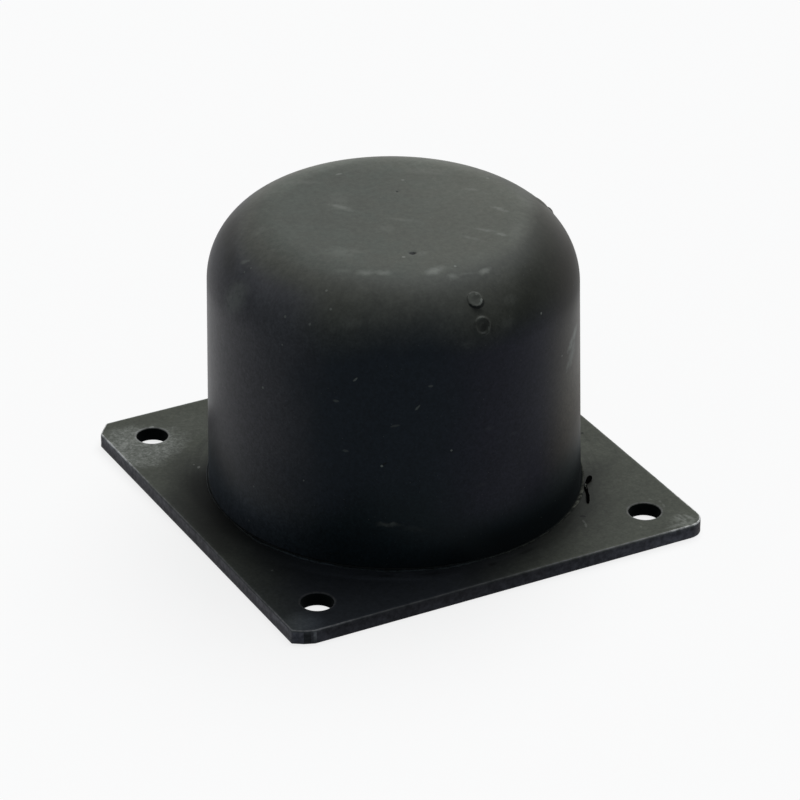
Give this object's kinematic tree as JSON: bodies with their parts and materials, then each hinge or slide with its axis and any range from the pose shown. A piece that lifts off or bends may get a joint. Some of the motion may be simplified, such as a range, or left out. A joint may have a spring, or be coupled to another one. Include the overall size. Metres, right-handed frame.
{
  "type": "rubber bump stop",
  "caption": "Solid rubber dome with a flat top and rounded shoulder, moulded onto a square steel plate with a bolt hole at each corner.",
  "frame": {"origin": "middle of the plate's underside, the face that is bolted against a structure", "axes": "+Z from the plate through the buffer's top; X and Y along the plate's sides; the unevenly cut corner is towards -X and -Y"},
  "size_m": [0.125, 0.125, 0.084],
  "materials": {
    "coated_steel": "thin satin black coating, worn and scratched at one corner, with rough sheared edges",
    "moulded_rubber": "matt moulded black rubber with light bloom, scuffs and dust specks"
  },
  "bodies": {
    "root": {"base_plate": "coated_steel", "rubber_buffer": "moulded_rubber"}
  },
  "joints": []
}
